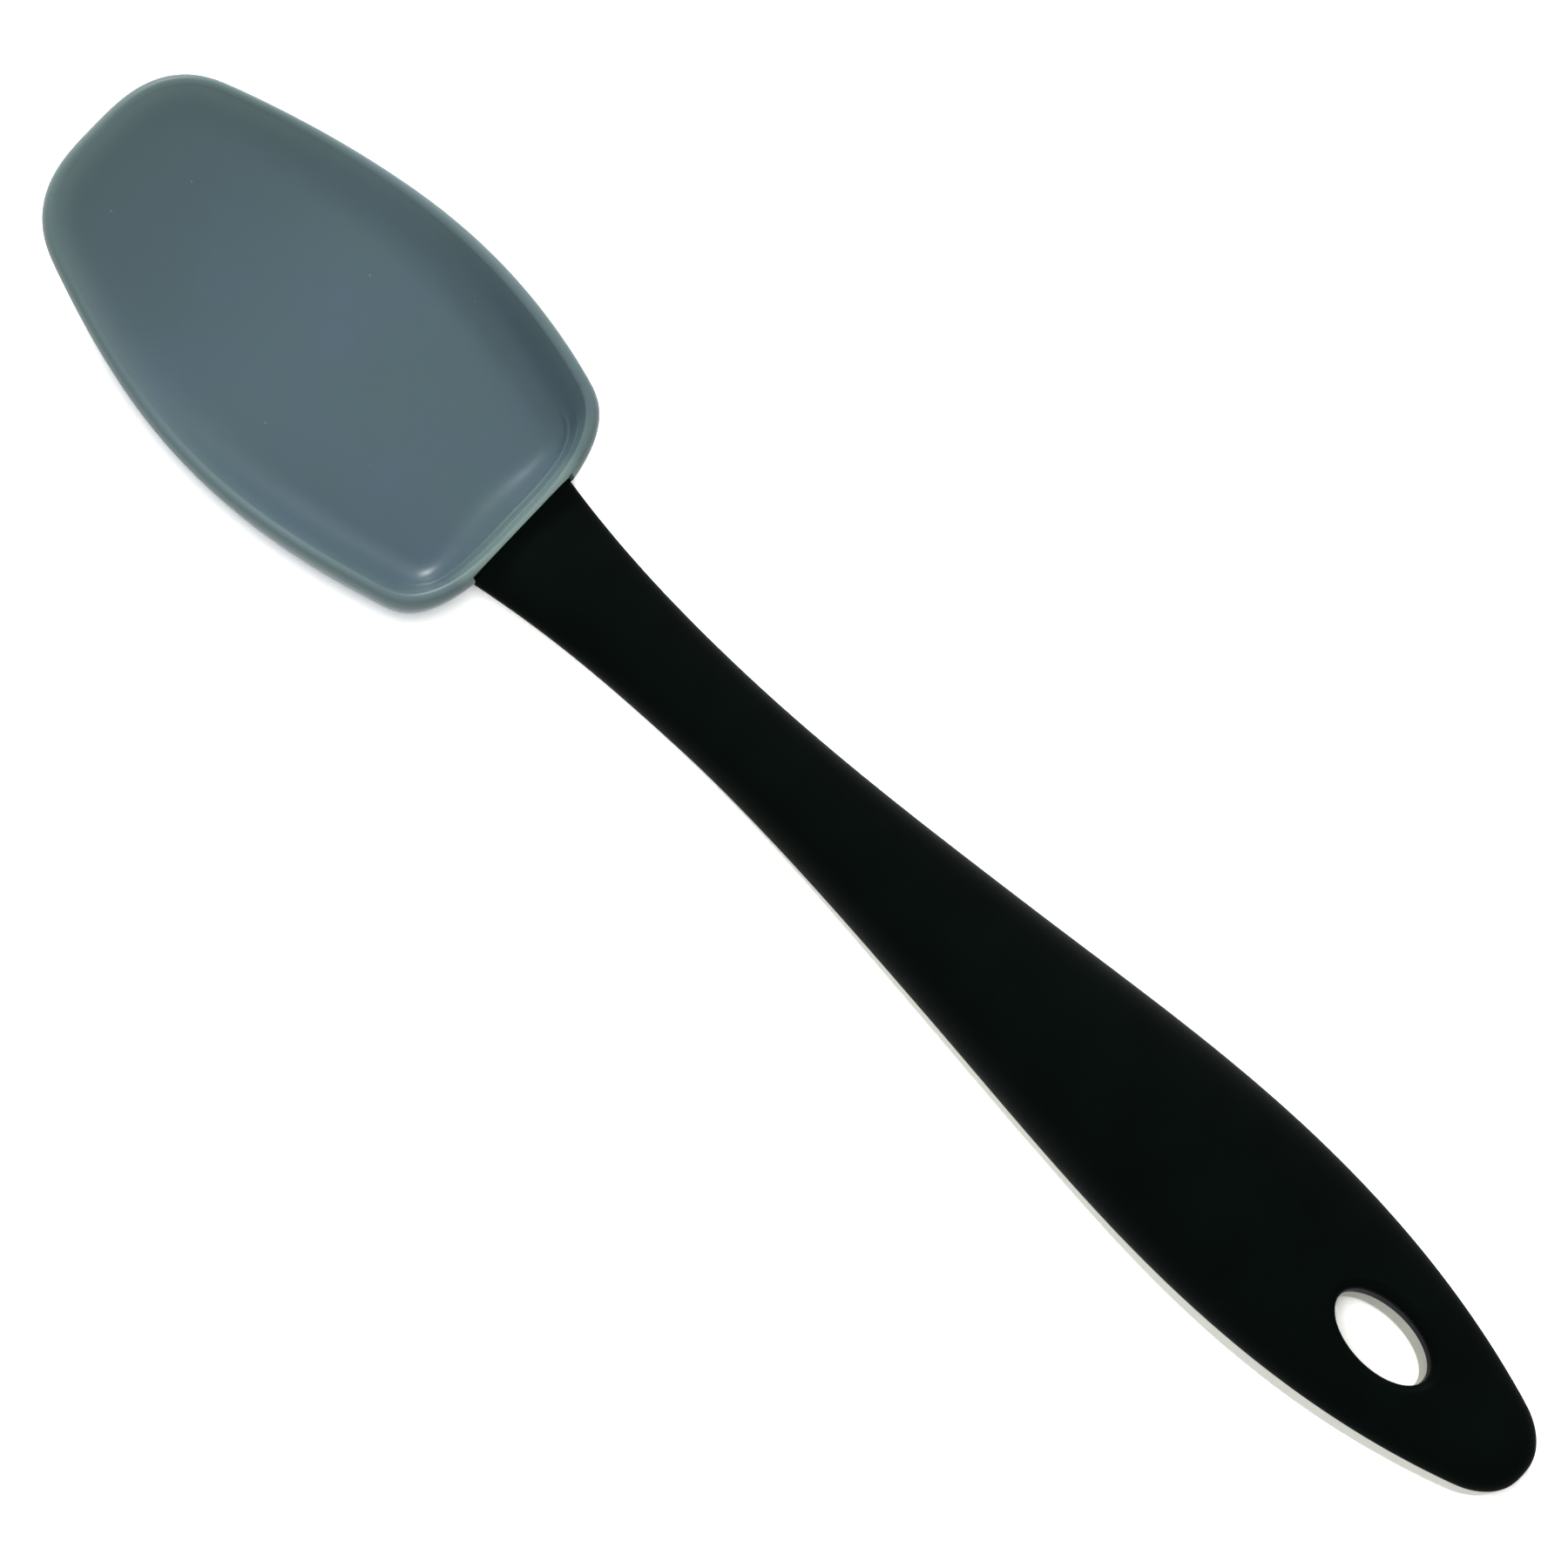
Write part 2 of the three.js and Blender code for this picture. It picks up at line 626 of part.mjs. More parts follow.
function makeLowerShell() {
  const bosses = postX.map((x) =>
    uprightBar(x, POST_RADIUS, undersideHeight(x) + WALL / 2, partingHeight(x) - CLEARANCE / 2),
  );
  const sockets = postX.map((x) =>
    uprightBar(x, PEG_RADIUS + CLEARANCE, undersideHeight(x) + WALL, partingHeight(x) + CUT_OVERRUN),
  );
  const table = block(2 * OVERALL_LENGTH, OVERALL_LENGTH, OVERALL_LENGTH, 0, -OVERALL_LENGTH / 2);
  const shell = handleBody().intersect(partingSpace(-1)).subtract(hollow);
  return subtractAll(addAll(shell, bosses), [...sockets, coreRoom, hangHole(), table]);
}

const silicone = new THREE.MeshStandardMaterial({ color: "#5c727c", roughness: 0.5, metalness: 0 });
const blackPlastic = new THREE.MeshStandardMaterial({ color: "#0c100f", roughness: 0.45, metalness: 0 });
const ivoryPlastic = new THREE.MeshStandardMaterial({ color: "#dfe3d8", roughness: 0.5, metalness: 0 });
const nylon = new THREE.MeshStandardMaterial({ color: "#3a3d3d", roughness: 0.55, metalness: 0 });

const spoon = new THREE.Group();
const pieces = [
  ["silicone_head", makeHead(), silicone],
  ["core_blade", makeCore(), nylon],
  ["handle_upper_shell", makeUpperShell(), blackPlastic],
  ["handle_lower_shell", makeLowerShell(), ivoryPlastic],
];
for (const [name, solid, material] of pieces) {
  const mesh = new THREE.Mesh(toGeometry(solid), material);
  mesh.name = name;
  spoon.add(mesh);
}

export default spoon;
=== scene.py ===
"""Silicone spoon: the finely shaped pieces, their materials, a pale table, studio light and the camera.

Sizes are in millimetres and meshes are made in metres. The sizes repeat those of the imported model, to which
the fine ridges inside the heel's lip and the softer rim at the tip are added.
+X runs from the tip of the head to the hanging end of the handle, and +Z is up out of the bowl.
"""

import math

import bmesh
import bpy
from mathutils import Matrix, Vector, kdtree


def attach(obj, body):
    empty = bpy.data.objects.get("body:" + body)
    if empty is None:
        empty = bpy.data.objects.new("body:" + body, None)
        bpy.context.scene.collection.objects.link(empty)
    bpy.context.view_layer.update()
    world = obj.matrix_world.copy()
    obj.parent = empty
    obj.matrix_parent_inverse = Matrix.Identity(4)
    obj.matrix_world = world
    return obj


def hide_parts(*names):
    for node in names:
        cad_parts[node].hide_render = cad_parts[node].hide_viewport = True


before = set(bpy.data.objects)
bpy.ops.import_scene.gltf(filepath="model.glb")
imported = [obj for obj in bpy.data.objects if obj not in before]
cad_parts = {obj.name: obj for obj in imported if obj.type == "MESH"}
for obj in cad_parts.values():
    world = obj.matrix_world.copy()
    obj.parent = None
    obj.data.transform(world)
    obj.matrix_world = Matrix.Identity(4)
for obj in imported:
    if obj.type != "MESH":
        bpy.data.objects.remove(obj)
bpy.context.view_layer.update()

MM = 0.001

# Places along the spoon
TIP_X = -130.0
END_X = 130.0
HEAD_LENGTH = 78.6
HEEL_X = TIP_X + HEAD_LENGTH
NECK_X = HEEL_X - 1.0
WAIST_X = NECK_X + 35.2
PARTING_JOIN_X = NECK_X + 42.0
SWELL_X = END_X - 100.0
CREST_X = END_X - 78.0
GRIP_X = END_X - 50.5
HANG_X = END_X - 26.3
END_ROUND = 6.5
END_ROUND_X = END_X - END_ROUND

# Outline of the head
HEAD_WIDTH = 49.2
HEAD_WIDEST = 45.0  # from the tip
TIP_WIDTH = 26.6  # between the side lines where they reach the tip
TIP_FLARE = 0.43  # slope of a side line at the tip
TIP_ROUND = 10.0  # length of the rounded tip corners
TIP_SQUARENESS = 3.1  # 2 is an ellipse, more is squarer
HEEL_WIDTH = 36.0  # between the side lines where they reach the heel
HEEL_TAPER = 0.36  # slope of a side line at the heel
HEEL_ROUND = 8.2
HEEL_SQUARENESS = 3.0

# Rim of the head
RIM_HEIGHT = 14.2  # at its highest, near the heel
RIM_PEAK_FROM_HEEL = 12.0
RIM_HEEL_HEIGHT = 13.0
RIM_HEEL_FALL = 0.09
RIM_DIP_HEIGHT = 10.3
RIM_DIP_FROM_TIP = 29.0
RIM_TIP_HEIGHT = 12.4
RIM_TIP_FALL = 0.05
RIM_WIDTH = 2.0
RIM_OUTER_RISE = 1.6
RIM_INNER_RISE = 1.0
RIM_INNER_TURN = math.pi / 4  # how far the rim's rounding turns before the wall begins
TIP_RIM_LENGTH = 22.0  # over which the rim melts into the ramp of the tip
TIP_RIM_SHARE = 0.35  # part of the rim's inner rise left at the tip

# Bowl and belly of the head
FLOOR_HEIGHT = 7.0
FLOOR_TIP_HEIGHT = 12.0
FLOOR_TIP_FALL = 0.12
FLOOR_SWEEP_LENGTH = 38.0  # over which the floor sweeps up to the tip
FLOOR_INSET = {"tip": 8.0, "side": 9.5, "heel": 5.8}
FLOOR_HEEL_SQUARENESS = 6.0
WALL_CURVE = 2.5  # 1 is a straight slope down to the floor, more is fuller
HEEL_BULGE = 3.5  # how far the heel's wall swells into the bowl, round the core
HEEL_BULGE_WIDTH = 20.0
BELLY_INSET = {"tip": 34.0, "side": 12.5, "heel": 3.4}
BELLY_SQUARENESS = 1.8
TIP_RAMP_CURVE = 0.75  # 1 is a straight ramp under the tip, less is fuller
NOTCH_OPENING = 14.2  # how far the notch for the neck is open above it

# Painted light on the head's rim and on the lip over the neck, and painted shade towards its tip
PAINTED_RIM_LIGHT_REACH = 2.7  # how far the painted light of the rim reaches in from its outer edge
PAINTED_LIP_LIGHT_REACH = 3.0  # the same for the painted light of the lip over the neck
PAINTED_RIM_LIGHT_SHARE = 0.48  # strength of the rim's painted light, where the lip's is 1
PAINTED_LIGHT_TURN = math.pi / 4  # where the painted light is strongest on the rim's outer rounding
PAINTED_LIGHT_DROP = 0.3  # part of the rim's outer rise by which that line lies below the top
TIP_SHADE_LENGTH = 32.0  # over which the darker, greener painted shade of the tip fades out

# Fine ridges inside the lip of the heel
RIDGE_INSETS = (2.5, 3.4)  # from the heel
RIDGE_WIDTH = 0.38
RIDGE_HEIGHT = 0.27
RIDGE_START = HEAD_LENGTH - 9.0  # along the sides, the ridges rise from here
RIDGE_FULL = HEAD_LENGTH - 4.0  # to here

# Core
CORE_Z = 4.5
CORE_THICKNESS = 2.2
CORE_TIP_X = TIP_X + 30.0
CORE_TIP_ROUND = 3.5
CORE_TIP_HALF = 3.5
CORE_ROOT_HALF = 4.3
TANG_HALF = 2.69
TANG_SHOULDER = 10.0
TANG_END_X = NECK_X + 75.0

# Outline of the handle
NECK_WIDTH = 19.2
NECK_TAPER = 0.19
WAIST_WIDTH = 13.4
SWELL_WIDTH = 20.0
SWELL_FLARE = 0.105
GRIP_WIDTH = 28.2
END_WIDTH = 10.2  # between the side lines where they reach the end
END_TAPER = 0.4
END_SQUARENESS = 2.7
END_FLAT_SHARE = 0.12  # part of the section left at the very end

# Heights and sections of the handle
WIDEST_NECK = 9.4  # height at which the section is widest, at the neck
WIDEST_END = 6.5  # the same at the end
NECK_TOP = 11.6
NECK_TOP_RISE = 0.09
CREST_TOP = 16.8
HANG_TOP = 11.4
HANG_TOP_FALL = 0.14
END_TOP = 9.4
END_TOP_FALL = 0.1
UNDERSIDE_HEIGHT = 1.0
FOOT_SAG = 0.2  # how far the underside would sink below the table before it is made flat
END_UNDERSIDE = 0.8
END_UNDERSIDE_RISE = 0.06
PARTING_RISE = 0.05  # slope of the parting line at the neck
UPPER_SQUARENESS = 2.3
NECK_LOWER_SQUARENESS = 1.8
CREST_LOWER_SQUARENESS = 4.5
END_LOWER_SQUARENESS = 20.0
SEAM = 0.08  # gap along the parting line, round the core and round the neck
SEAM_ROUND = 0.16  # rounding of each shell's edge at the parting line

# Hang hole
HANG_LENGTH = 16.0
HANG_WIDTH = 8.6
HANG_MOUTH_RADIUS = 1.8
HANG_MOUTH_START = math.radians(14)  # turn at which the mouth's rounding leaves the surface

CUT_OVERRUN = 2.0  # how far a cutting shape runs past the piece it cuts

# Fineness of the meshes
ROUND_STEPS = 24
SIDE_STEPS = 40
ARC_STEPS = 18
WALL_STEPS = 72
FLOOR_STEPS = 26
STATION_STEPS = 240
SECTION_STEPS = 72
SEAM_STEPS = 4
HOLE_STEPS = 120
SHARP_ANGLE = math.radians(32)


def curve_through(knots):
    """A smooth curve through knots of (place, value, slope)."""

    def value_at(place):
        index = 0
        while index < len(knots) - 2 and place > knots[index + 1][0]:
            index += 1
        start_place, start_value, start_slope = knots[index]
        end_place, end_value, end_slope = knots[index + 1]
        span = end_place - start_place
        t = (place - start_place) / span
        ease = t * t * (3 - 2 * t)
        start_pull = t * (1 - t) * (1 - t) * span * start_slope
        end_pull = t * t * (t - 1) * span * end_slope
        return start_value + (end_value - start_value) * ease + start_pull + end_pull

    return value_at


def fractions(steps):
    """Even steps from 0 to 1."""
    return [index / steps for index in range(steps + 1)]


def quarter_turns(steps):
    """Even turns from 0 to a right angle."""
    return [t * math.pi / 2 for t in fractions(steps)]


def squared(value, squareness):
    """A cosine or sine drawn towards a square corner, or towards a straight line below 2."""
    return math.copysign(abs(value) ** (2 / squareness), value)


# Curves along the head, by distance from the tip
head_side = curve_through([
    (0, TIP_WIDTH / 2, TIP_FLARE),
    (HEAD_WIDEST, HEAD_WIDTH / 2, 0),
    (HEAD_LENGTH, HEEL_WIDTH / 2, -HEEL_TAPER),
])
rim_height = curve_through([
    (0, RIM_TIP_HEIGHT, -RIM_TIP_FALL),
    (RIM_DIP_FROM_TIP, RIM_DIP_HEIGHT, 0),
    (HEAD_LENGTH - RIM_PEAK_FROM_HEEL, RIM_HEIGHT, 0),
    (HEAD_LENGTH, RIM_HEEL_HEIGHT, -RIM_HEEL_FALL),
])
floor_height = curve_through([
    (0, FLOOR_TIP_HEIGHT, -FLOOR_TIP_FALL),
    (FLOOR_SWEEP_LENGTH, FLOOR_HEIGHT, 0),
    (HEAD_LENGTH, FLOOR_HEIGHT, 0),
])
tip_softness = curve_through([(0, TIP_RIM_SHARE, 0), (TIP_RIM_LENGTH, 1, 0)])
heel_share = curve_through([(HEAD_WIDEST, 0, 0), (HEAD_LENGTH, 1, 0)])
ridge_share = curve_through([(RIDGE_START, 0, 0), (RIDGE_FULL, 1, 0)])

# Curves along the handle and the core, by place on X
half_width = curve_through([
    (NECK_X, NECK_WIDTH / 2, -NECK_TAPER),
    (WAIST_X, WAIST_WIDTH / 2, 0),
    (SWELL_X, SWELL_WIDTH / 2, SWELL_FLARE),
    (GRIP_X, GRIP_WIDTH / 2, 0),
    (END_X, END_WIDTH / 2, -END_TAPER),
])
top_height = curve_through([
    (NECK_X, NECK_TOP, NECK_TOP_RISE),
    (CREST_X, CREST_TOP, 0),
    (HANG_X, HANG_TOP, -HANG_TOP_FALL),
    (END_X, END_TOP, -END_TOP_FALL),
])
underside_height = curve_through([
    (NECK_X, UNDERSIDE_HEIGHT, 0),
    (CREST_X, UNDERSIDE_HEIGHT, 0),
    (HANG_X, -FOOT_SAG, 0),
    (END_X, END_UNDERSIDE, END_UNDERSIDE_RISE),
])
widest_fall = (WIDEST_NECK - WIDEST_END) / (END_X - NECK_X)
widest_height = curve_through([(NECK_X, WIDEST_NECK, -widest_fall), (END_X, WIDEST_END, -widest_fall)])
parting_height = curve_through([
    (NECK_X, CORE_Z, PARTING_RISE),
    (PARTING_JOIN_X, widest_height(PARTING_JOIN_X), -widest_fall),
    (END_X, WIDEST_END, -widest_fall),
])
lower_squareness = curve_through([
    (NECK_X, NECK_LOWER_SQUARENESS, 0),
    (WAIST_X, NECK_LOWER_SQUARENESS, 0),
    (CREST_X, CREST_LOWER_SQUARENESS, 0),
    (END_X, END_LOWER_SQUARENESS, 0),
])
core_half = curve_through([
    (CORE_TIP_X, CORE_TIP_HALF, 0),
    (NECK_X, CORE_ROOT_HALF, 0),
    (NECK_X + TANG_SHOULDER, TANG_HALF, 0),
    (TANG_END_X, TANG_HALF, 0),
])


def middle_of(ring):
    return sum(ring, Vector()) / len(ring)


def loft(name, rings):
    """A closed mesh object skinned over rings of points in millimetres, each end closed by a fan."""
    size = len(rings[0])
    points = [point * MM for ring in rings for point in ring]
    points += [middle_of(rings[0]) * MM, middle_of(rings[-1]) * MM]
    start, end = len(points) - 2, len(points) - 1
    last = (len(rings) - 1) * size
    faces = []
    for step in range(size):
        following = (step + 1) % size
        faces.append((start, following, step))
        faces.append((end, last + step, last + following))
        for ring in range(0, last, size):
            faces.append((ring + step, ring + following, ring + size + following, ring + size + step))
    mesh = bpy.data.meshes.new(name)
    mesh.from_pydata(points, [], faces)
    shape = bmesh.new()
    shape.from_mesh(mesh)
    bmesh.ops.recalc_face_normals(shape, faces=shape.faces)
    shape.to_mesh(mesh)
    shape.free()
    piece = bpy.data.objects.new(name, mesh)
    bpy.context.scene.collection.objects.link(piece)
    return piece


def cut(piece, cutter):
    """Takes the cutter's room out of a piece, and removes the cutter."""
    modifier = piece.modifiers.new("cut", "BOOLEAN")
    modifier.operation = "DIFFERENCE"
    modifier.solver = "EXACT"
    modifier.object = cutter
    evaluated = piece.evaluated_get(bpy.context.evaluated_depsgraph_get())
    mesh = bpy.data.meshes.new_from_object(evaluated)
    piece.modifiers.clear()
    whole = piece.data
    piece.data = mesh
    bpy.data.meshes.remove(whole)
    bpy.data.objects.remove(cutter)


def smooth(piece):
    """Soft shading over the rounded surfaces, with the real edges left crisp."""
    piece.data.shade_smooth()
    piece.data.set_sharp_from_angle(angle=SHARP_ANGLE)


# Head


def head_half_outline(heel_squareness):
    """One side of the head from the tip to the heel, as (distance from the tip, half width)."""

    def rounded(length, squareness, turn):
        along = length * (1 - squared(math.cos(turn), squareness))
        return along, squared(math.sin(turn), squareness)

    tip = []
    heel = []
    for turn in quarter_turns(ROUND_STEPS):
        along, share = rounded(TIP_ROUND, TIP_SQUARENESS, turn)
        tip.append((along, head_side(along) * share))
        along, share = rounded(HEEL_ROUND, heel_squareness, turn)
        heel.append((HEAD_LENGTH - along, head_side(HEAD_LENGTH - along) * share))
    front = HEAD_WIDEST - TIP_ROUND
    rear = HEAD_LENGTH - HEEL_ROUND - HEAD_WIDEST
    places = [TIP_ROUND + front * t for t in fractions(SIDE_STEPS)[1:]]
    places += [HEAD_WIDEST + rear * t for t in fractions(SIDE_STEPS)[1:-1]]
    return tip + [(place, head_side(place)) for place in places] + heel[::-1]


def head_outline(heel_squareness):
    """The whole outline of the head, round both sides, as (distance from the tip, place across)."""
    one_side = head_half_outline(heel_squareness)
    return [(along, -half) for along, half in one_side] + one_side[-2:0:-1]


def bulge_share(along, across):
    """How far a point of the heel's wall swells into the bowl, as a share of the full bulge."""
    off = 2 * across / HEEL_BULGE_WIDTH
    return heel_share(max(along, HEAD_WIDEST)) * math.exp(-off * off)


def ridge_height(inset, place):
    """Height of the two fine ridges that run along inside the lip of the heel."""
    offs = [2 * (inset - middle) / RIDGE_WIDTH for middle in RIDGE_INSETS]
    share = ridge_share(min(max(place, RIDGE_START), RIDGE_FULL))
    return RIDGE_HEIGHT * share * sum(math.exp(-off * off) for off in offs)


def head_ring(inset, height_at, bulge=0.0, heel_squareness=HEEL_SQUARENESS, ridged=False):
    """The head's outline drawn in from its tip, sides and heel, at a height that follows the length."""
    length_share = (HEAD_LENGTH - inset["tip"] - inset["heel"]) / HEAD_LENGTH
    width_share = 1 - 2 * inset["side"] / HEAD_WIDTH
    ring = []
    for along, across in head_outline(heel_squareness):
        place = inset["tip"] + along * length_share
        y = across * width_share
        swell = bulge * bulge_share(along, y)
        ridge = ridge_height(inset["heel"] + swell, place) if ridged else 0
        ring.append(Vector((TIP_X + place - swell, y, height_at(place) + ridge)))
    return ring


def even_inset(size):
    """The same inset all round."""
    return {"tip": size, "side": size, "heel": size}


def blend_inset(start, stop, share):
    """An inset that has gone a share of the way from one inset to another."""
    return {end: start[end] + (stop[end] - start[end]) * share for end in start}


def make_head():
    """The soft head: a flat belly, a rounded rim and a bowl that sweeps up to the tip."""

    def edge(place):
        return rim_height(place) - RIM_OUTER_RISE

    def rim_inset(turn):
        return even_inset(RIM_WIDTH / 2 * (1 + math.sin(turn)))

    def rim_inside(place, turn):
        drop = RIM_INNER_RISE * (1 - math.cos(turn))
        return rim_height(place) - drop * tip_softness(min(place, TIP_RIM_LENGTH))

    def inner_edge(place):
        return rim_inside(place, RIM_INNER_TURN)

    rings = []
    turns = quarter_turns(ARC_STEPS)
    for turn in turns:
        rise = 1 - squared(math.cos(turn), BELLY_SQUARENESS)
        spread = squared(math.sin(turn), BELLY_SQUARENESS)
        inset = {
            "tip": BELLY_INSET["tip"] * (1 - rise ** TIP_RAMP_CURVE),
            "side": BELLY_INSET["side"] * (1 - spread),
            "heel": BELLY_INSET["heel"] * (1 - spread),
        }
        rings.append(head_ring(inset, lambda place: edge(place) * rise))
    for turn in turns[1:]:
        inset = even_inset(RIM_WIDTH / 2 * (1 - math.cos(turn)))
        rings.append(head_ring(inset, lambda place: edge(place) + RIM_OUTER_RISE * math.sin(turn)))
    for t in fractions(ARC_STEPS)[1:]:
        turn = RIM_INNER_TURN * t
        rings.append(head_ring(rim_inset(turn), lambda place: rim_inside(place, turn)))
    for spread in fractions(WALL_STEPS)[1:]:
        up = (1 - spread) ** WALL_CURVE
        inset = blend_inset(rim_inset(RIM_INNER_TURN), FLOOR_INSET, spread)

        def height_at(place):
            return inner_edge(place) * up + floor_height(place) * (1 - up)

        squareness = HEEL_SQUARENESS + (FLOOR_HEEL_SQUARENESS - HEEL_SQUARENESS) * spread
        rings.append(head_ring(inset, height_at, HEEL_BULGE * spread, squareness, ridged=True))
    whole = {"tip": HEAD_LENGTH / 2, "side": HEAD_WIDTH / 2, "heel": HEAD_LENGTH / 2}
    for share in fractions(FLOOR_STEPS)[1:-1]:
        inset = blend_inset(FLOOR_INSET, whole, share)
        rings.append(head_ring(inset, floor_height, HEEL_BULGE * (1 - share), FLOOR_HEEL_SQUARENESS))
    head = loft("spoon_head", rings)
    cut(head, neck_notch())
    cut(head, core_body("core_room", SEAM))
    smooth(head)
    return head


def mark_painted_edge_light(head):
    """Marks how near each point of the head lies to the rim's outer edge and to the lip over the neck, as its
    share of painted light.
    """
    inset = even_inset(RIM_WIDTH / 2 * (1 - math.cos(PAINTED_LIGHT_TURN)))
    rim = head_ring(inset, lambda place: rim_height(place) - RIM_OUTER_RISE * PAINTED_LIGHT_DROP)
    neck_half = half_width(NECK_X)
    lip_height = rim_height(HEAD_LENGTH)
    lip = [Vector((NECK_X, neck_half * (2 * t - 1), lip_height)) for t in fractions(SIDE_STEPS)]
    # Painted light: the share is strongest on the rim's palest line and on the lip, and fades inwards.
    edge = head.data.attributes.new("painted_edge_light", "FLOAT", "POINT")
    for line, reach, share in ((rim, PAINTED_RIM_LIGHT_REACH, PAINTED_RIM_LIGHT_SHARE), (lip, PAINTED_LIP_LIGHT_REACH, 1)):
        tree = kdtree.KDTree(len(line))
        for index, point in enumerate(line):
            tree.insert(point * MM, index)
        tree.balance()
        for index, vertex in enumerate(head.data.vertices):
            distance = tree.find(vertex.co)[2] / MM
            nearness = share * math.exp(-((distance / reach) ** 2))
            edge.data[index].value = max(edge.data[index].value, nearness)


# Handle


def section_reach(x, side):
    """How far the section reaches above (1) or below (-1) its widest line, and how squarely."""
    if side > 0:
        return top_height(x) - widest_height(x), UPPER_SQUARENESS
    return widest_height(x) - underside_height(x), lower_squareness(x)


def section_point(x, turn, share=1, grow=0):
    """A point of the handle's cross-section, with turn 0 at its widest on the +Y side."""
    reach, squareness = section_reach(x, 1 if math.sin(turn) >= 0 else -1)
    across = (half_width(x) + grow) * share * squared(math.cos(turn), squareness)
    rise = (reach + grow) * share * squared(math.sin(turn), squareness)
    return Vector((x, across, widest_height(x) + rise))


def turn_at(x, share, height):
    """The turn at which the side of the handle's section passes a height."""
    rise = height - widest_height(x)
    reach, squareness = section_reach(x, 1 if rise >= 0 else -1)
    part = min(abs(rise) / (reach * share), 1)
    return math.copysign(math.asin(part ** (squareness / 2)), rise)


def stations():
    """Places along the handle with the share of the section left at each."""
    body = [(NECK_X + (END_ROUND_X - NECK_X) * t, 1) for t in fractions(STATION_STEPS)]
    end = []
    for turn in quarter_turns(ROUND_STEPS)[1:]:
        share = max(squared(math.cos(turn), END_SQUARENESS), END_FLAT_SHARE)
        end.append((END_ROUND_X + END_ROUND * squared(math.sin(turn), END_SQUARENESS), share))
    return body + end


def shell_ring(x, share, side):
    """The outside of the upper (1) or lower (-1) shell, with its edges at the parting line rounded."""
    seam = parting_height(x) + side * SEAM / 2
    start = turn_at(x, share, seam + side * SEAM_ROUND)
    sweep = math.pi - 2 * start if side > 0 else -math.pi - 2 * start
    arc = [section_point(x, start + sweep * t, share) for t in fractions(SECTION_STEPS)]
    corner = []
    for turn in quarter_turns(SEAM_STEPS)[:-1]:
        across = arc[0].y - SEAM_ROUND * (1 - math.sin(turn))
        corner.append(Vector((x, across, seam + side * SEAM_ROUND * (1 - math.cos(turn)))))
    far_corner = [Vector((x, -point.y, point.z)) for point in reversed(corner)]
    return [Vector((point.x, point.y, max(point.z, 0))) for point in corner + arc + far_corner]


def surface_height(x, y, side):
    """Height of the handle's outside over a point, no lower than the table."""
    reach, squareness = section_reach(x, side)
    across = min(abs(y) / half_width(x), 1)
    rise = (1 - across ** squareness) ** (1 / squareness)
    return max(widest_height(x) + side * reach * rise, 0)


def hang_hole():
    """The room of the hang hole, with a rounded mouth at each face."""

    def ring(spread, side, depth):
        points = []
        for t in fractions(HOLE_STEPS)[1:]:
            turn = 2 * math.pi * t
            x = HANG_X + (HANG_LENGTH / 2 + spread) * math.cos(turn)
            y = (HANG_WIDTH / 2 + spread) * math.sin(turn)
            points.append(Vector((x, y, surface_height(x, y, side) - side * depth)))
        return points

    def mouth(side):
        rings = []
        for t in fractions(ARC_STEPS):
            turn = HANG_MOUTH_START + (math.pi / 2 - HANG_MOUTH_START) * t
            spread = HANG_MOUTH_RADIUS * (1 - math.sin(turn))
            rings.append(ring(spread, side, HANG_MOUTH_RADIUS * (1 - math.cos(turn))))
        over = ring(HANG_MOUTH_RADIUS * (1 - math.sin(HANG_MOUTH_START)), side, -CUT_OVERRUN)
        return [over] + rings

    return loft("hang_room", mouth(-1) + mouth(1)[::-1])


def neck_notch():
    """The room of the neck in the heel of the head, open at the top."""
    rings = []
    for x in (NECK_X - SEAM, HEEL_X + CUT_OVERRUN):
        ring = []
        for t in fractions(2 * SECTION_STEPS)[1:]:
            point = section_point(NECK_X, 2 * math.pi * t, grow=SEAM)
            opening = NOTCH_OPENING if point.z > WIDEST_NECK + SEAM else 0
            ring.append(Vector((x, point.y, point.z + opening)))
        rings.append(ring)
    return loft("neck_room", rings)


def core_body(name, margin):
    """The core, grown all over by a margin."""
    bottom = CORE_Z - CORE_THICKNESS / 2 - margin
    top = CORE_Z + CORE_THICKNESS / 2 + margin

    def ring(x, share=1):
        half = (core_half(x) + margin) * share
        return [Vector((x, y, z)) for y, z in ((-half, bottom), (half, bottom), (half, top), (-half, top))]

    round_x = CORE_TIP_X + CORE_TIP_ROUND
    rings = []
    for turn in quarter_turns(ROUND_STEPS)[1:-1]:
        rings.append(ring(round_x - (CORE_TIP_ROUND + margin) * math.cos(turn), math.sin(turn)))
    rings += [ring(round_x + (TANG_END_X + margin - round_x) * t) for t in fractions(STATION_STEPS // 2)]
    return loft(name, rings)


def make_shell(name, side):
    """The upper (1) or lower (-1) shell of the handle, with room for the hang hole and the core."""
    shell = loft(name, [shell_ring(x, share, side) for x, share in stations()])
    cut(shell, hang_hole())
    cut(shell, core_body("core_room", SEAM))
    smooth(shell)
    return shell


# Materials

# Sizes of the patterns. The grain of both skins is too fine to show, so it is drawn coarser.
SILICONE_CLOUD = 12.0
SILICONE_GRAIN = 0.6
SPECK_CELL = 5.0
SPECK_CORE = 0.1
SPECK_RADIUS = 0.2
PLASTIC_CLOUD = 9.0
PLASTIC_GRAIN = 0.35


def linear(hex_colour):
    """A linear colour from sRGB hex digits."""
    channels = [int(hex_colour[index:index + 2], 16) / 255 for index in (0, 2, 4)]
    return [c / 12.92 if c <= 0.04045 else ((c + 0.055) / 1.055) ** 2.4 for c in channels] + [1.0]


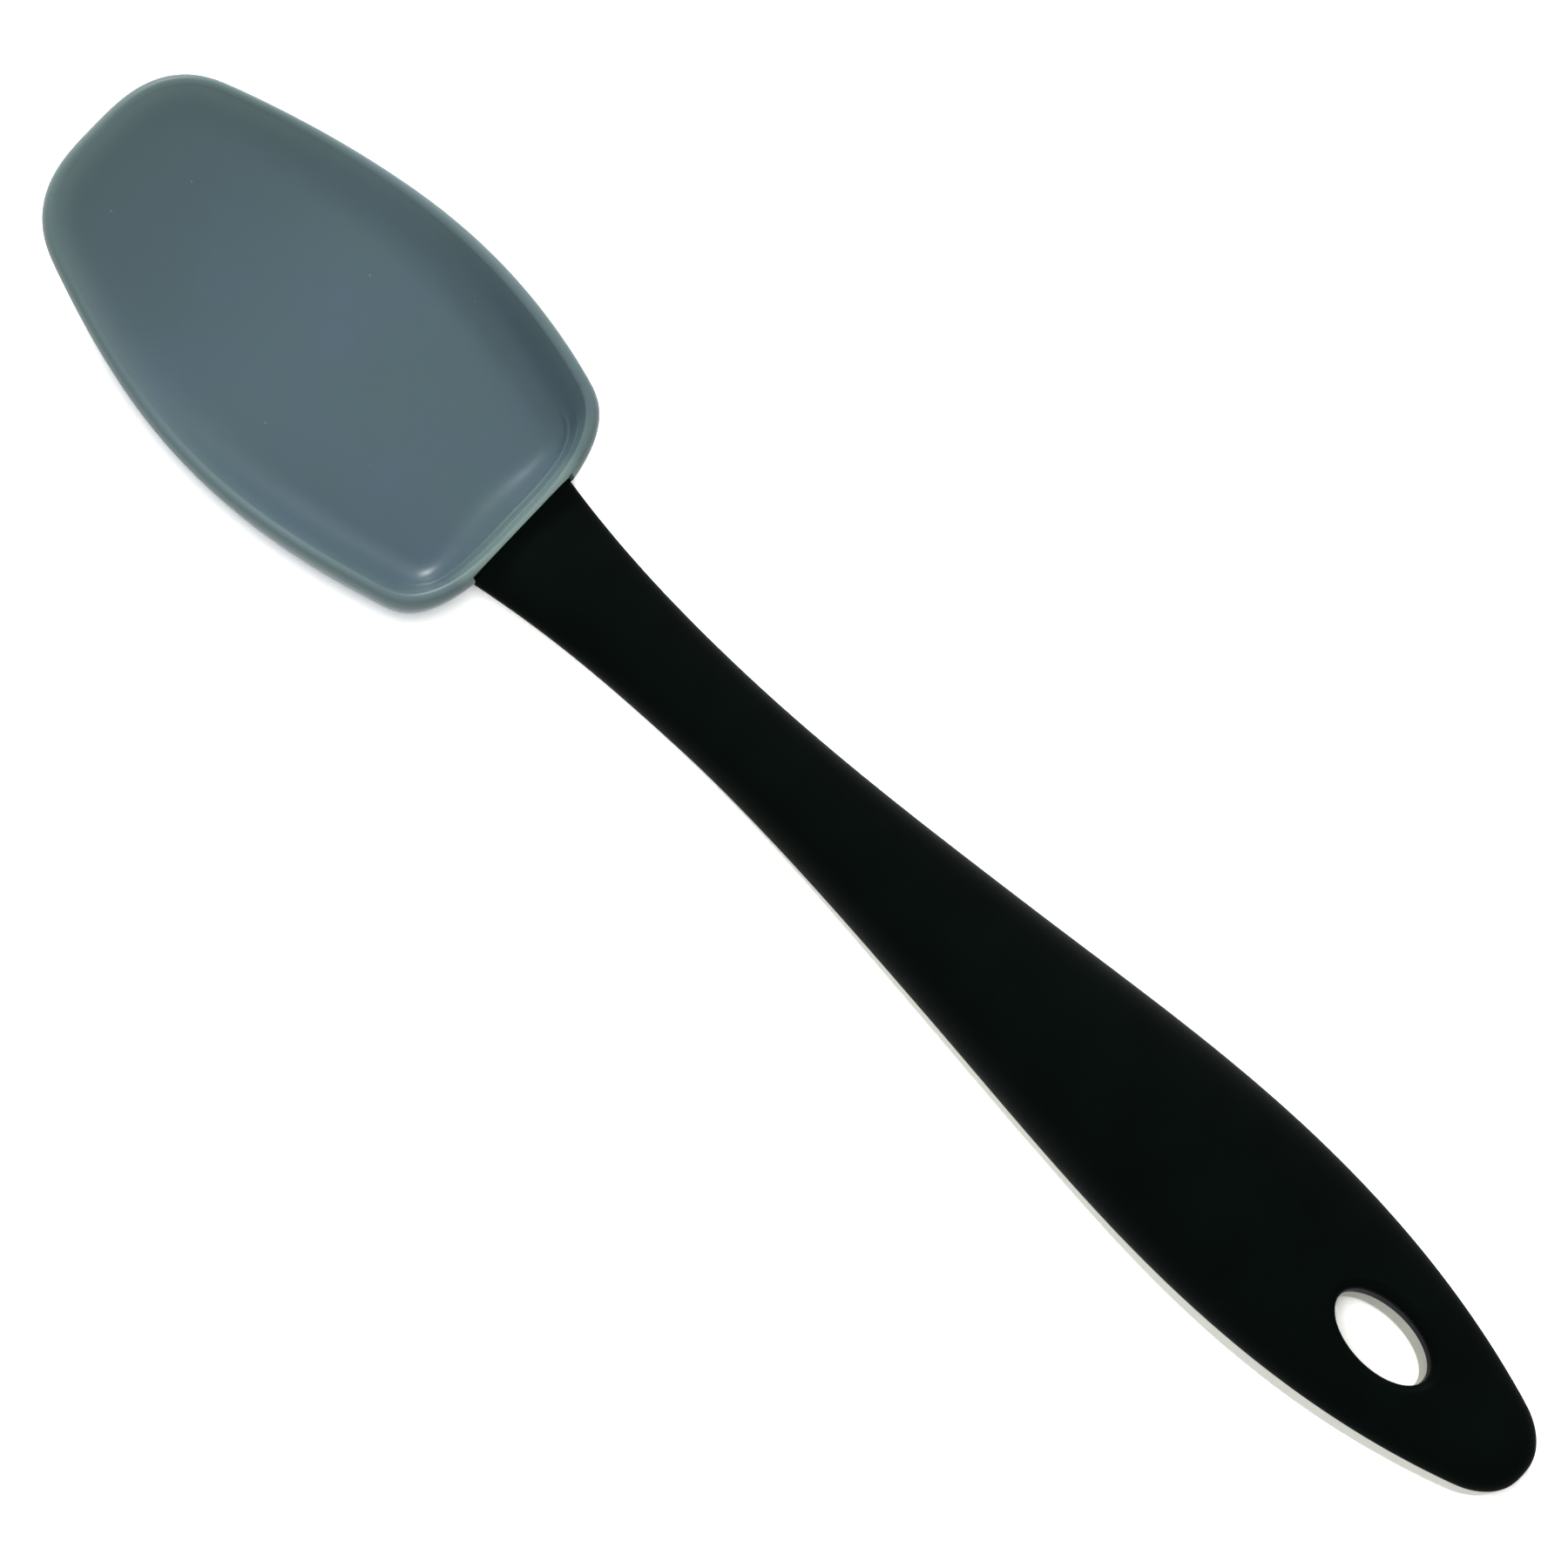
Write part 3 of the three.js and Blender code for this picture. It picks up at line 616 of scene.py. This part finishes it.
def add_node(tree, kind, settings, links=()):
    """A node with its options or socket values set, and its sockets linked."""
    node = tree.nodes.new(kind)
    for name, value in settings.items():
        if isinstance(name, str) and hasattr(node, name):
            setattr(node, name, value)
        else:
            node.inputs[name].default_value = value
    for socket, source in dict(links).items():
        tree.links.new(source, node.inputs[socket])
    return node


def per_mm(size):
    """Pattern scale at which one feature is this many millimetres across."""
    return 1 / (size * MM)


def new_material(name):
    """A material with no nodes yet, and its node tree."""
    material = bpy.data.materials.new(name)
    material.use_nodes = True
    material.node_tree.nodes.clear()
    return material, material.node_tree


def moulded_silicone():
    """Silicone rubber moulded in a satin mould, a grey-blue that lets a little light in under its skin.

    Soft clouds show in it, its tip is painted darker and greener as shade, its rim's edge and the lip over
    the neck are painted pale green as light, and it holds a few specks.
    """
    material, tree = new_material("silicone_rubber_compression_moulded")
    place = add_node(tree, "ShaderNodeTexCoord", {}).outputs["Object"]
    cloud = add_node(
        tree,
        "ShaderNodeTexNoise",
        {"Scale": per_mm(SILICONE_CLOUD), "Detail": 3.0, "Roughness": 0.6},
        {"Vector": place},
    )
    spread = add_node(
        tree, "ShaderNodeMapRange", {"From Min": 0.35, "From Max": 0.65}, {"Value": cloud.outputs[0]}
    )
    body = add_node(
        tree,
        "ShaderNodeMix",
        {"data_type": "RGBA", 6: linear("52686e"), 7: linear("546874")},
        {0: spread.outputs[0]},
    )
    length = add_node(tree, "ShaderNodeSeparateXYZ", {}, {"Vector": place})
    # Painted shade: the colour turns darker and greener towards the tip, where its ramp faces away from the
    # lamps.
    tip_shade_share = add_node(
        tree,
        "ShaderNodeMapRange",
        {
            "From Min": TIP_X * MM,
            "From Max": (TIP_X + TIP_SHADE_LENGTH) * MM,
            "To Min": 1.0,
            "To Max": 0.0,
        },
        {"Value": length.outputs["X"]},
    )
    tip_shaded = add_node(
        tree,
        "ShaderNodeMix",
        {"data_type": "RGBA", 7: linear("4b5f62")},
        {0: tip_shade_share.outputs[0], 6: body.outputs[2]},
    )
    # Painted light: near the rim's edge and the lip over the neck the colour is painted pale green, where
    # light catches and shines through the silicone.
    edge_light_share = add_node(tree, "ShaderNodeAttribute", {"attribute_name": "painted_edge_light"})
    pale = add_node(
        tree,
        "ShaderNodeMix",
        {"data_type": "RGBA", 7: linear("768b88")},
        {0: edge_light_share.outputs["Fac"], 6: tip_shaded.outputs[2]},
    )
    # Dust moulded in: each cell holds a dark or a pale speck, and few of them reach the skin.
    cells = add_node(tree, "ShaderNodeTexVoronoi", {"Scale": per_mm(SPECK_CELL)}, {"Vector": place})
    speck = add_node(
        tree,
        "ShaderNodeMapRange",
        {
            "From Min": SPECK_CORE / SPECK_CELL,
            "From Max": SPECK_RADIUS / SPECK_CELL,
            "To Min": 0.42,
            "To Max": 0.0,
        },
        {"Value": cells.outputs["Distance"]},
    )
    shade = add_node(tree, "ShaderNodeValToRGB", {}, {0: cells.outputs["Color"]})
    shade.color_ramp.interpolation = "CONSTANT"
    shade.color_ramp.elements[0].color = linear("36474a")
    shade.color_ramp.elements[1].position = 0.45
    shade.color_ramp.elements[1].color = linear("8ea19f")
    colour = add_node(
        tree,
        "ShaderNodeMix",
        {"data_type": "RGBA"},
        {0: speck.outputs[0], 6: pale.outputs[2], 7: shade.outputs[0]},
    )
    grain = add_node(
        tree, "ShaderNodeTexNoise", {"Scale": per_mm(SILICONE_GRAIN), "Detail": 2.0}, {"Vector": place}
    )
    bump = add_node(
        tree,
        "ShaderNodeBump",
        {"Strength": 0.08, "Distance": 0.05 * MM},
        {"Height": grain.outputs[0]},
    )
    # The thin edge is a little duller than the rest.
    gloss = add_node(
        tree, "ShaderNodeMapRange", {"To Min": 0.34, "To Max": 0.6}, {"Value": edge_light_share.outputs["Fac"]}
    )
    surface = add_node(
        tree,
        "ShaderNodeBsdfPrincipled",
        {
            "IOR": 1.41,
            "Subsurface Weight": 0.6,
            "Subsurface Radius": (1.0, 1.0, 1.0),
            "Subsurface Scale": 1.6 * MM,
        },
        {"Base Color": colour.outputs[2], "Roughness": gloss.outputs[0], "Normal": bump.outputs[0]},
    )
    add_node(tree, "ShaderNodeOutputMaterial", {}, {"Surface": surface.outputs[0]})
    return material


def moulded_plastic(name, dark, light, roughness, specular):
    """An even colour with faint flow clouds under a fine satin skin."""
    material, tree = new_material(name)
    place = add_node(tree, "ShaderNodeTexCoord", {}).outputs["Object"]
    cloud = add_node(
        tree, "ShaderNodeTexNoise", {"Scale": per_mm(PLASTIC_CLOUD), "Detail": 4.0}, {"Vector": place}
    )
    colour = add_node(
        tree,
        "ShaderNodeMix",
        {"data_type": "RGBA", 6: linear(dark), 7: linear(light)},
        {0: cloud.outputs[0]},
    )
    grain = add_node(
        tree, "ShaderNodeTexNoise", {"Scale": per_mm(PLASTIC_GRAIN), "Detail": 2.0}, {"Vector": place}
    )
    bump = add_node(
        tree,
        "ShaderNodeBump",
        {"Strength": 0.15, "Distance": 0.04 * MM},
        {"Height": grain.outputs[0]},
    )
    surface = add_node(
        tree,
        "ShaderNodeBsdfPrincipled",
        {"Roughness": roughness, "IOR": 1.49, "Specular IOR Level": specular},
        {"Base Color": colour.outputs[2], "Normal": bump.outputs[0]},
    )
    add_node(tree, "ShaderNodeOutputMaterial", {}, {"Surface": surface.outputs[0]})
    return material


# Pieces

head = make_head()
mark_painted_edge_light(head)
upper = make_shell("handle_upper", 1)
lower = make_shell("handle_lower", -1)
core = core_body("core_stiffener", 0)
smooth(core)

silicone = moulded_silicone()
# Polypropylene from a finely etched mould: a deep black with almost no gloss.
black = moulded_plastic("polypropylene_black_moulded", "060a09", "0a110f", roughness=0.5, specular=0.012)
# Polypropylene from a satin mould: a pale ivory with a soft gloss.
ivory = moulded_plastic("polypropylene_ivory_moulded", "ebede1", "f1f3e8", roughness=0.5, specular=0.5)
# Moulded nylon filled with glass fibre: a dull dark grey.
nylon = moulded_plastic("nylon_glass_filled", "34383a", "3c4042", roughness=0.55, specular=0.4)

for piece, body, node, slot, material in (
    (head, "head", "silicone_head", "silicone", silicone),
    (upper, "handle", "handle_upper_shell", "black_plastic", black),
    (lower, "handle", "handle_lower_shell", "ivory_plastic", ivory),
    (core, "handle", "core_blade", "core_nylon", nylon),
):
    piece.data.materials.clear()
    piece.data.materials.append(material)
    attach(piece, body)
    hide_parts(node)

# Table

TABLE_HALF = 3000.0
TABLE_DROP = 0.1  # how far the table lies under the spoon, so that no faces coincide
PAPER_LIGHTNESS = 0.8
PAPER_LIFT = 1.15  # added to it where the paper is seen


def seen_directly(tree):
    """1 for what the camera sees directly, in a reflection or through a clear piece."""
    rays = add_node(tree, "ShaderNodeLightPath", {})
    seen = rays.outputs["Is Camera Ray"]
    for kind in ("Is Glossy Ray", "Is Transmission Ray"):
        either = add_node(
            tree, "ShaderNodeMath", {"operation": "MAXIMUM"}, {0: seen, 1: rays.outputs[kind]}
        )
        seen = either.outputs[0]
    return seen


def make_table():
    """A wide table under white paper that keeps the spoon's shadow, and is clear from below."""
    half = TABLE_HALF * MM
    corners = [(-half, -half, 0), (half, -half, 0), (half, half, 0), (-half, half, 0)]
    mesh = bpy.data.meshes.new("table")
    mesh.from_pydata(corners, [], [(0, 1, 2, 3)])
    table = bpy.data.objects.new("table", mesh)
    table.location.z = -TABLE_DROP * MM
    bpy.context.scene.collection.objects.link(table)
    material, tree = new_material("white_paper")
    # The paper is seen lighter than it is, so that all but the spoon's shadow is white.
    lightness = add_node(
        tree,
        "ShaderNodeMath",
        {"operation": "MULTIPLY_ADD", 1: PAPER_LIFT, 2: PAPER_LIGHTNESS},
        {0: seen_directly(tree)},
    )
    paper = add_node(tree, "ShaderNodeBsdfDiffuse", {}, {"Color": lightness.outputs[0]})
    clear = add_node(tree, "ShaderNodeBsdfTransparent", {})
    facing = add_node(tree, "ShaderNodeNewGeometry", {})
    surface = add_node(
        tree,
        "ShaderNodeMixShader",
        {},
        {0: facing.outputs["Backfacing"], 1: paper.outputs[0], 2: clear.outputs[0]},
    )
    add_node(tree, "ShaderNodeOutputMaterial", {}, {"Surface": surface.outputs[0]})
    mesh.materials.append(material)


make_table()

# Light

LAMP_DISTANCE = 1.2  # metres from the middle of the spoon
WALL_LIGHT = 0.2  # strength of the studio walls' light, where 1 is white


def softbox(name, direction, size, watts, reflected=True):
    """A rectangular lamp of a size in metres, in a direction from the middle of the spoon and facing it."""
    light = bpy.data.lights.new(name, "AREA")
    light.shape = "RECTANGLE"
    light.size, light.size_y = size
    light.energy = watts
    lamp = bpy.data.objects.new(name, light)
    towards = Vector(direction).normalized()
    lamp.location = towards * LAMP_DISTANCE
    lamp.rotation_euler = towards.to_track_quat("Z", "Y").to_euler()
    lamp.visible_glossy = reflected
    bpy.context.scene.collection.objects.link(lamp)


# The overhead and front lights are polarised, so that they leave no glare on the bowl and the handle.
softbox("overhead_softbox", (-0.08, -0.15, 0.985), (0.34, 0.34), 6.6, reflected=False)
softbox("key_softbox", (-0.71, 0.55, 0.41), (0.3, 0.3), 10.0)
softbox("side_softbox", (-0.1, 0.85, 0.5), (1.8, 1.0), 1.4)
softbox("front_softbox", (0.1, -0.85, 0.5), (0.6, 0.4), 2.3, reflected=False)

world = bpy.data.worlds.new("studio")
world.use_nodes = True
world.node_tree.nodes.clear()
bpy.context.scene.world = world
# The studio's pale walls give the spoon a little light from all round, and are seen white.
ambient = add_node(
    world.node_tree,
    "ShaderNodeMath",
    {"operation": "MULTIPLY_ADD", 1: 1 - WALL_LIGHT, 2: WALL_LIGHT},
    {0: seen_directly(world.node_tree)},
)
sky = add_node(world.node_tree, "ShaderNodeBackground", {}, {"Strength": ambient.outputs[0]})
add_node(world.node_tree, "ShaderNodeOutputWorld", {}, {"Surface": sky.outputs[0]})

# Camera

CAMERA_DISTANCE = 1.3  # metres
CAMERA_TILT = math.radians(12)  # from straight down, towards the near side
CAMERA_ROLL = math.radians(43.11)
VIEW_WIDTH = 0.20732  # metres across the frame at the spoon
TARGET = Vector((-4.0, -0.53, 9.0)) * MM
SENSOR_WIDTH = 36.0

camera_data = bpy.data.cameras.new("camera")
camera_data.sensor_width = SENSOR_WIDTH
camera_data.lens = SENSOR_WIDTH * CAMERA_DISTANCE / VIEW_WIDTH
camera = bpy.data.objects.new("camera", camera_data)
bpy.context.scene.collection.objects.link(camera)
bpy.context.scene.camera = camera
along = Vector((1, 0, 0))
across = Vector((0, math.cos(CAMERA_TILT), math.sin(CAMERA_TILT)))
back = along.cross(across)
right = along * math.cos(CAMERA_ROLL) + across * math.sin(CAMERA_ROLL)
up = across * math.cos(CAMERA_ROLL) - along * math.sin(CAMERA_ROLL)
facing = Matrix((right, up, back)).transposed().to_4x4()
camera.matrix_world = Matrix.Translation(TARGET + back * CAMERA_DISTANCE) @ facing

bpy.context.scene.view_settings.view_transform = "Standard"
